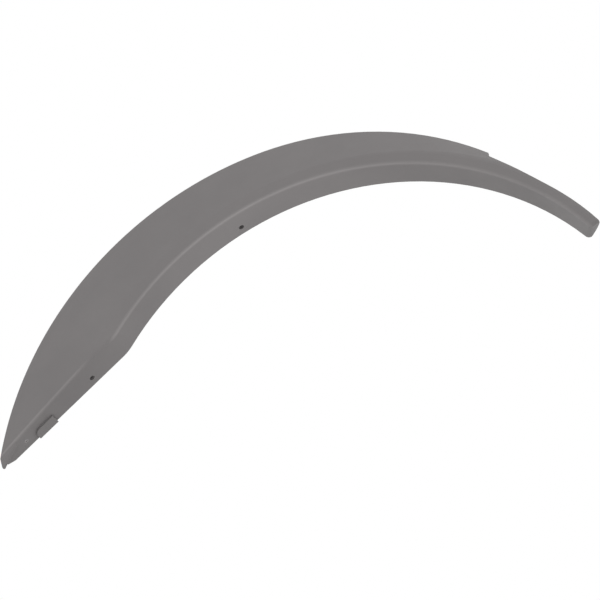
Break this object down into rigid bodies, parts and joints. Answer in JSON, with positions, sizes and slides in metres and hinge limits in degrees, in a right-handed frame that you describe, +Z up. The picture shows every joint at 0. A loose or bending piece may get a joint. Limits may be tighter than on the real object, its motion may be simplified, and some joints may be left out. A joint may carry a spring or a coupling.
{
  "type": "mudguard",
  "caption": "Grey moulded wheel-arch mudguard: curved shell with a sloping outer face and a deep lip turned in over the wheel, screwed on through bosses in the lip.",
  "frame": {"origin": "mouth of the upper screw hole, on the wheel side of the lip", "axes": "+X along the vehicle towards the narrow tail end, +Y inboard towards the vehicle, along the wheel axis, +Z up"},
  "size_m": [1.2024, 0.0685, 0.6382],
  "materials": {
    "grey_plastic": "fine moulded grain, mid grey, matte"
  },
  "bodies": {
    "root": {"mudguard": "grey_plastic"}
  },
  "joints": []
}
